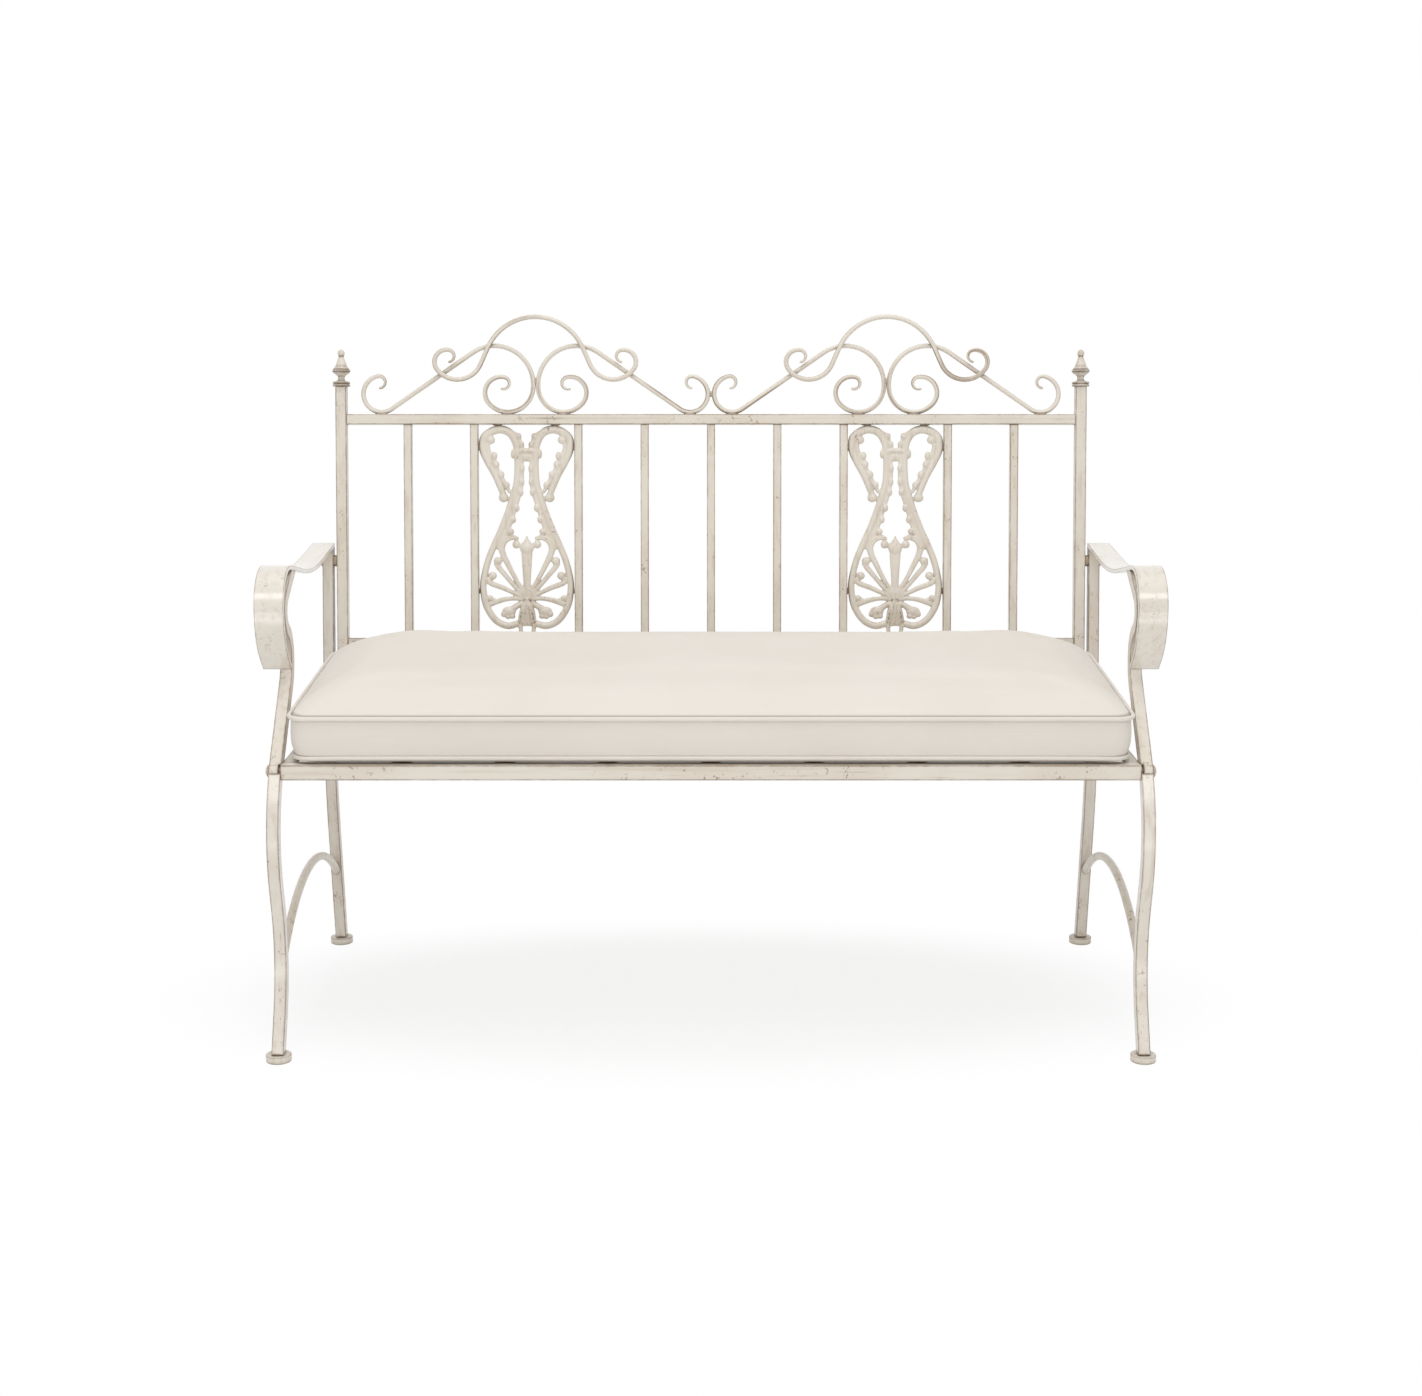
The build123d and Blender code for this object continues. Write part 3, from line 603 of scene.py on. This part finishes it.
def cast_knob(across, down, width, height, depth, forward=0.0):
    """An egg-shaped bud, in mm, its rings going from its left to its right."""
    polar = np.linspace(0.02, np.pi - 0.02, 14)[:, None]
    round_off = round_angles(18)
    x = across / 1000.0 - np.cos(polar) * width / 2000.0 + 0.0 * round_off
    y = casting_top - down / 1000.0 + np.sin(polar) * np.cos(round_off) * height / 2000.0
    z = forward / 1000.0 + np.sin(polar) * np.sin(round_off) * depth / 2000.0
    return np.stack([x, y, z], -1)


half_cast = [
    cast_strand([(34.6, 106), (46.8, 77), (58.4, 55), (65.2, 36), (62.5, 18), (44, 7.3), (26, 11.5),
                 (16.5, 27), (14, 45), (13.5, 64), (15, 86.7), (18.7, 101.5), (26, 124.6), (32.5, 142.5),
                 (39.8, 160.4), (48, 178), (58.5, 204), (64.8, 230), (66, 247), (61.5, 272), (48, 293.5),
                 (30, 302.5), (13, 299)],
                [9.5, 10, 11, 12.4, 12.8, 12.8, 12.4, 10.6, 10, 10, 10, 10, 10, 10, 10, 10, 10, 10, 10,
                 10.4, 10.6, 10.6, 10], [9.8, 9.8]),
    cast_strand([(54, 22), (58, 34), (50.5, 55), (39, 76), (30, 93), (25, 102)],
                [5, 6.4, 6.8, 6.8, 6, 5], [7, 7, 7, 7, 7, 6], 0.5, 0.3),
    cast_strand([(27, 8), (14, 17), (9.2, 32), (8.6, 50), (8, 70), (8.8, 87), (11.5, 102), (18.5, 124),
                 (24.5, 143), (30, 158), (35, 171)],
                [4, 8, 7.5, 7.5, 8.5, 9, 9, 9, 9.4, 9.6, 8], [6, 7, 7, 7, 7, 7, 7, 7, 7, 7, 6], 0.5, 0.3),
    cast_strand([(8, 246), (15.8, 234), (27, 213), (36.8, 192), (37, 181), (31, 172.5), (21, 169.3),
                 (12.5, 171.5)],
                [5.4, 6.8, 8.2, 9.8, 10, 9.4, 8, 5], [7, 7.6, 8.2, 8.6, 8.4, 8, 7.4, 6], 0.5, 0.35),
    cast_strand([(33, 160), (38.5, 173), (43, 188)], [9, 10, 5], [7.6, 7.6, 6]),
    cast_strand([(6, 256), (18, 244), (30, 229.5), (42.5, 214.5), (47.5, 207)],
                [5.4, 6.2, 7.4, 8.4, 7], [7, 7.4, 7.8, 8, 7.4], 0.3, 0.35),
    cast_strand([(6, 259), (22, 252), (36.8, 245), (55, 237.8), (58, 229)],
                [6, 6.6, 8, 8.4, 6], [7, 7.4, 7.8, 8, 7], 0.3, 0.2),
    cast_strand([(6, 262), (24, 261.5), (39, 264), (56.5, 270.3)],
                [6, 6.6, 8, 8.4], [7, 7.4, 7.8, 7.6], 0.3, 0.2),
    cast_strand([(6, 268), (14, 271.5), (22, 277), (30, 281)], [7, 8.6, 10.4, 9], [7, 7.6, 8.4, 8]),
    cast_knob(34.9, 109.5, 14.8, 14.4, 10.2, 0.4), cast_knob(53.4, 23, 12.6, 12.6, 9, 0.8),
    cast_knob(15.8, 180, 12.4, 12.4, 9.4, 0.8), cast_knob(43.8, 205, 12.8, 12.8, 9.4, 0.6),
    cast_knob(51.6, 227, 12.4, 12.4, 9.2, 0.6), cast_knob(55.8, 261, 10, 10, 8.6, 0.4),
    cast_knob(50, 263.5, 7, 7, 7), cast_knob(61, 265.5, 7, 7, 7),
    cast_knob(27.4, 281, 21, 15.5, 9.6, 0.4), cast_knob(35, 285, 9.6, 9.6, 8.2, 0.4),
    cast_knob(22.4, 288, 9.4, 8.4, 8, 0.4), cast_knob(29, 289, 8, 7.4, 7.8, 0.4),
    cast_knob(48.6, 47, 10, 13, 9, 1.3), cast_knob(45.4, 60, 9.6, 13, 9, 1.3),
    cast_knob(38, 75.5, 9.6, 13, 9, 1.3), cast_knob(29.6, 91, 8.6, 12, 9, 1.3),
    cast_knob(11.5, 17.5, 8.4, 10.4, 9, 1.3), cast_knob(6.8, 30, 7.6, 10.4, 9, 1.3),
    cast_knob(20.6, 44, 6, 14, 9, 1.3), cast_knob(6.2, 66, 7, 14, 9, 1.3),
    cast_knob(6.8, 86, 7.6, 13, 9, 1.3), cast_knob(8.6, 101.5, 8, 12, 9, 1.3),
    cast_knob(15, 125, 8.8, 12, 9, 1.3), cast_knob(20.3, 142.5, 9, 12, 9, 1.3),
    cast_knob(23.8, 160.5, 10, 10, 9, 1.3),
    cast_strand([(9, 296), (10, 306), (8, 320.5)], [7, 6.4, 7], [7.4, 7.4, 7.4]),
    cast_strand([(3.4, 270), (6, 284), (8, 299)], [2.4, 3.2, 3.6], [9.6, 12, 11], 1.4),
    cast_strand([(5.5, 271), (10.5, 284), (12.6, 296)], [2.4, 3.2, 3.6], [8.6, 11, 10], 1.4),
]
whole_cast = half_cast + [rings[:, ::-1] * (-1.0, 1.0, 1.0) for rings in half_cast] + [
    cast_strand([(0, 166.3), (0, 170), (0, 175), (0, 180), (0, 184.5), (0, 189), (0, 193.5)],
                [0.8, 3.4, 10, 19, 22.4, 20, 14], [2, 4, 7, 10, 11.4, 10.6, 8], 0.6),
    cast_strand([(0, 190), (0, 197), (0, 215), (0, 236), (0, 250), (0, 262)],
                [17, 17, 14.4, 11.4, 12, 14], [8, 8, 7.8, 7.6, 8, 8.6], 0.4, 0.2),
    cast_knob(0, 253, 33, 24, 8.6),
    cast_strand([(0, 263), (0, 270), (0, 280), (0, 290), (0, 298), (0, 303)],
                [5, 16, 24, 27.6, 27, 20], [8, 9.4, 9.8, 9.4, 8.8, 7], 0.4),
    cast_strand([(0, 262), (0, 284), (0, 300)], [2.4, 3.2, 3.6], [9.6, 12.4, 11.4], 1.4),
    cast_strand([(-13, 41), (-6, 38.4), (0, 39.6), (6, 38.4), (13, 41)],
                [7, 8, 8, 8, 7], [9, 10, 10, 10, 9], 0.6),
    cast_knob(0, 48, 21, 15, 9),
]


def finish_shape(piece):
    """The piece's mesh as its modifiers leave it. The modifiers are then taken off."""
    bpy.context.view_layer.update()
    finished = bpy.data.meshes.new_from_object(piece.evaluated_get(bpy.context.evaluated_depsgraph_get()))
    piece.modifiers.clear()
    return finished


def fuse_by_voxels(piece, name, grain):
    """A modifier that fuses the piece's shells into one, in cubes of that size."""
    fuse = piece.modifiers.new(name, "REMESH")
    fuse.mode = "VOXEL"
    fuse.voxel_size = grain
    fuse.use_smooth_shade = True


for side, x in [("left", -casting_place), ("right", casting_place)]:
    placed = [on_back(rings[..., 0] + x, rings[..., 1], rings[..., 2]) for rings in whole_cast]
    casting = make_piece(f"{side}_lyre_casting", outward(placed), cast_paint)
    fuse_by_voxels(casting, "fuse", cast_grain)
    soften = casting.modifiers.new("soften", "SMOOTH")
    soften.factor = 0.5
    soften.iterations = 2
    casting.data = finish_shape(casting)
    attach(casting, "frame")
    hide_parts(f"{side}_casting")


# Casting welds: short tacks where each casting touches the spindles beside it and the rail above
# it, left rough and brown. Across and down from the casting's top, then width, height and depth.
tack_places = [
    (0.0716, 0.034, 0.0026, 0.0110, 0.0070),
    (0.0714, 0.250, 0.0026, 0.0100, 0.0070),
    (0.0440, 0.0004, 0.0150, 0.0026, 0.0070)]
tack_brown = 0.85
tacks = []
for x in [-casting_place, casting_place]:
    for way in [-1.0, 1.0]:
        for across, down, *tack_size in tack_places:
            tacks.append(weld_bead(x + way * across, casting_top - down, *tack_size))
casting_welds = make_piece("casting_welds", outward(tacks), crest_paint,
                           wear_and_shade=brown_all_over(tacks, tack_brown))
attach(casting_welds, "frame")


# The cushion: a boxed seat pad of fine cotton canvas round a foam core, with rounded rear corners
# and a taller rear edge. It lies loose on the slats, and its filling rounds it out between seams.
canvas_beige = (0.775, 0.728, 0.668, 1.0)
# The darker warm canvas serves for random tone and for painted shade on upright faces.
canvas_warm_and_side_shade = (0.725, 0.668, 0.598, 1.0)
canvas_thread = 0.0009
corner_shade = (0.21, 0.165, 0.12, 1.0)
seam_shade_grey = (0.33, 0.28, 0.22, 1.0)
cushion_side = 0.5605
cushion_front = -0.221
cushion_rear = 0.187
front_corner = 0.022
rear_corner = 0.062
cushion_bottom = 0.3938
bottom_seam = 0.3998
bottom_seam_lift = 0.0018
front_seam = 0.4558
rear_seam = 0.4778
cushion_crown = 0.0405
cushion_grain = 0.006
most_swell = 0.004
swell_frames = 20
held_from_seam = 0.006
held_from_edge = 0.02
held_from_bottom = 0.0065


def cushion_outline(inset):
    """The pad's outline in plan, drawn in by inset: four straight runs and four quarter turns."""
    reach = (cushion_rear - cushion_front) / 2 - inset
    front = min(front_corner + 0.4 * inset, 0.9 * reach)
    rear = min(rear_corner + 0.4 * inset, 0.9 * reach)
    side = cushion_side - inset
    low = cushion_front + inset
    high = cushion_rear - inset
    quarter = np.linspace(0.0, np.pi / 2, 25)
    corners = [(side - front, low + front, front, -np.pi / 2), (side - rear, high - rear, rear, 0.0),
               (rear - side, high - rear, rear, np.pi / 2), (front - side, low + front, front, np.pi)]
    turns = [np.stack([x + r * np.cos(a + quarter), y + r * np.sin(a + quarter)], -1)
             for x, y, r, a in corners]
    runs = []
    for turn_in, turn_out, count in zip(turns, turns[1:] + turns[:1], [60, 160, 60, 160]):
        share = np.linspace(0.0, 1.0, count + 2)[1:-1, None]
        runs.append(turn_in[-1] * (1.0 - share) + turn_out[0] * share)
    return np.concatenate([part for pair in zip(turns, runs) for part in pair])


def seam_height(y):
    """The top seam climbs evenly from the front edge to the rear edge."""
    share = (y - cushion_front) / (cushion_rear - cushion_front)
    return front_seam + (rear_seam - front_seam) * share


def low_seam_height(plan):
    """The bottom seam rests at the four corners and rises a little along each side between them."""
    middle = (cushion_front + cushion_rear) / 2
    to_side = (plan[:, 0] / cushion_side) ** 12
    to_edge = ((plan[:, 1] - middle) / (cushion_rear - middle)) ** 12
    return bottom_seam + bottom_seam_lift * (1.0 - np.clip(to_side * to_edge, 0.0, 1.0))


def cushion_ring(inset, belly, boxing, crown):
    """One ring of the pad: an inset in mm, and shares of the belly, of the boxing and of the crown.

    The crown is a little fuller in the middle of the bench than at its ends.
    """
    plan = cushion_outline(inset / 1000.0)
    low_seam = low_seam_height(plan)
    height = cushion_bottom + belly * (low_seam - cushion_bottom)
    fullness = cushion_crown * (1.06 - 0.06 * (plan[:, 0] / cushion_side) ** 2)
    height = height + boxing * (seam_height(plan[:, 1]) - low_seam) + crown * fullness
    return np.column_stack([plan, height])


cushion_rings = np.array([cushion_ring(*shares) for shares in [
    (150, 0, 0, 0), (90, 0, 0, 0), (40, 0, 0, 0), (14, 0, 0, 0), (9, .1, 0, 0), (6, 1, 0, 0),
    (3.2, 1.1, .12, 0), (1.4, 1, .3, 0), (.8, 1, .5, 0), (1.2, 1, .7, 0), (2, 1, .88, 0), (3, 1, 1, .02),
    (7, 1, 1, .16), (13, 1, 1, .35), (22, 1, 1, .56), (34, 1, 1, .75), (50, 1, 1, .89), (72, 1, 1, .965),
    (105, 1, 1, 1), (150, 1, 1, 1)]])


def fabric(name, colour, warm_and_side_shade_colour, thread, seam=None):
    """Plain-woven cotton: two sets of threads crossing over and under, laid on the face they lie in.

    Across and along are the two directions of the face that the normal points away from least. A seam
    is a height and a slope from front to rear, and a painted shade line runs in the fold just above it.
    """
    material, shader, place = new_material(name)
    normal = place.add("ShaderNodeNewGeometry", output="Normal")
    x, y, z = [place.add("ShaderNodeSeparateXYZ", {"Vector": place}, output=i) for i in range(3)]
    normal_x, normal_z = [place.add("ShaderNodeSeparateXYZ", {"Vector": normal}, output=i) for i in (0, 2)]
    end_on = place.maths("ABSOLUTE", normal_x).step(0.68, 0.74)
    flat_on = place.maths("ABSOLUTE", normal_z).step(0.6, 0.7)
    across = x * (1.0 - end_on) + y * end_on
    along = z * (1.0 - flat_on) + y * flat_on
    warp = place.maths("SINE", across * (np.pi / thread))
    weft = place.maths("SINE", along * (np.pi / thread))
    weave = warp * weft * 0.5 + 0.5
    slub = place.noise((14.0, 620.0, 620.0), 3.0)
    cloud = place.noise(6.0, 3.0)
    soft = place.noise(22.0, 2.0)
    tone_and_side_shade = cloud.step(0.35, 0.7) * 0.35 + slub.step(0.45, 0.75) * 0.2
    # Upright faces go part way to the darker warm colour: painted shade on the sides of the pad and piping.
    tone_and_side_shade = tone_and_side_shade + (1.0 - weave) * 0.15 + (1.0 - flat_on) * 0.3
    mixed = place.mix(colour, warm_and_side_shade_colour, tone_and_side_shade)
    open_sky = place.add("ShaderNodeAmbientOcclusion", {"Distance": 0.004}, output=1, samples=8)
    mixed = mixed.blend(corner_shade, (1.0 - open_sky).step(0.35, 0.85) * 0.8)
    # Painted shade: a grey line in the fold just above the top seam.
    if seam:
        above = z - (y * seam[1] + seam[0])
        seam_shade = above.step(0.0000, 0.0012) * (1.0 - above.step(0.0024, 0.0044))
        mixed = mixed.blend(seam_shade_grey, seam_shade * 0.5)
    mixed.feed(shader, "Base Color")
    (slub * 0.1 + 0.82).feed(shader, "Roughness")
    shader.inputs["Sheen Weight"].default_value = 0.12
    shader.inputs["Sheen Roughness"].default_value = 0.5
    threads = weave * 0.6 + slub * 0.6
    fine = place.add("ShaderNodeBump", {"Height": threads, "Strength": 0.35, "Distance": 0.0003})
    broad = place.add("ShaderNodeBump", {"Height": soft, "Strength": 0.25, "Distance": 0.004, "Normal": fine})
    broad.feed(shader, "Normal")
    return material


def read_points(mesh):
    """The places of a mesh's points, one row each."""
    places = np.empty(len(mesh.vertices) * 3)
    mesh.vertices.foreach_get("co", places)
    return places.reshape(-1, 3)


seam_slope = (rear_seam - front_seam) / (cushion_rear - cushion_front)
canvas = fabric("canvas", canvas_beige, canvas_warm_and_side_shade, canvas_thread, (seam_height(0.0), seam_slope))
cushion = make_piece("seat_cushion", outward([cushion_rings]), canvas)
fuse_by_voxels(cushion, "recast", cushion_grain)
cushion.data = finish_shape(cushion)
start = read_points(cushion.data)
from_seam = np.abs(start[:, 2] - seam_height(start[:, 1]))
from_end = cushion_side - np.abs(start[:, 0])
from_long_edge = np.minimum(start[:, 1] - cushion_front, cushion_rear - start[:, 1])
from_edge = np.minimum(from_end, from_long_edge)
seam = (from_seam < held_from_seam) & (from_edge < held_from_edge)
under = start[:, 2] < bottom_seam + held_from_bottom
held = cushion.vertex_groups.new(name="held")
held.add(np.flatnonzero(seam | under).tolist(), 1.0, "REPLACE")
swell = cushion.modifiers.new("swell", "CLOTH")
swell.settings.use_pressure = True
swell.settings.uniform_pressure_force = 4.0
swell.settings.vertex_group_mass = "held"
swell.settings.effector_weights.gravity = 0.0
swell.settings.bending_stiffness = 6.0
for step in range(1, swell_frames + 1):
    scene.frame_set(step)
swollen = finish_shape(cushion)
moved = read_points(swollen) - start
bpy.data.meshes.remove(swollen)
length = np.linalg.norm(moved, axis=1, keepdims=True)
moved *= np.minimum(1.0, most_swell / np.maximum(length, 1e-9))
cushion.data.vertices.foreach_set("co", (start + moved).ravel())
cushion.data.update()
scene.frame_set(1)
settle = cushion.modifiers.new("settle", "SMOOTH")
settle.factor = 0.5
settle.iterations = 8
settle.vertex_group = "held"
settle.invert_vertex_group = True
cushion.data = finish_shape(cushion)
smooth = cushion.modifiers.new("smooth", "SUBSURF")
smooth.levels = 1
smooth.render_levels = 1
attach(cushion, "cushion")
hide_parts("cushion_cover", "cushion_foam")


# Piping: a bias strip of the same canvas sewn over cord, along the top and the bottom seam. The top
# cord stands out from the seam, and the bottom one is tucked under the pad's edge.
piping_beige = (0.785, 0.74, 0.68, 1.0)
piping_thread = 0.0008
piping_radius = 0.0030
top_piping_inset = 0.0008
top_piping_drop = 0.0006
bottom_piping_inset = 0.0046
piping_cloth = fabric("piping_cloth", piping_beige, canvas_warm_and_side_shade, piping_thread)
for level, inset in [("top", top_piping_inset), ("bottom", bottom_piping_inset)]:
    plan = cushion_outline(inset)
    height = seam_height(plan[:, 1]) - top_piping_drop if level == "top" else low_seam_height(plan)
    ahead = np.roll(plan, -1, 0) - np.roll(plan, 1, 0)
    ahead /= np.linalg.norm(ahead, axis=1, keepdims=True)
    round_off = round_angles(14)
    out_x = plan[:, :1] + ahead[:, 1:] * piping_radius * np.cos(round_off)
    out_y = plan[:, 1:] - ahead[:, :1] * piping_radius * np.cos(round_off)
    rings = np.stack([out_x, out_y, height[:, None] + piping_radius * np.sin(round_off)], -1)
    piping = make_piece(f"{level}_piping", outward([rings]), piping_cloth, looped=True)
    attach(piping, "cushion")
    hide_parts(f"cushion_{level}_piping")
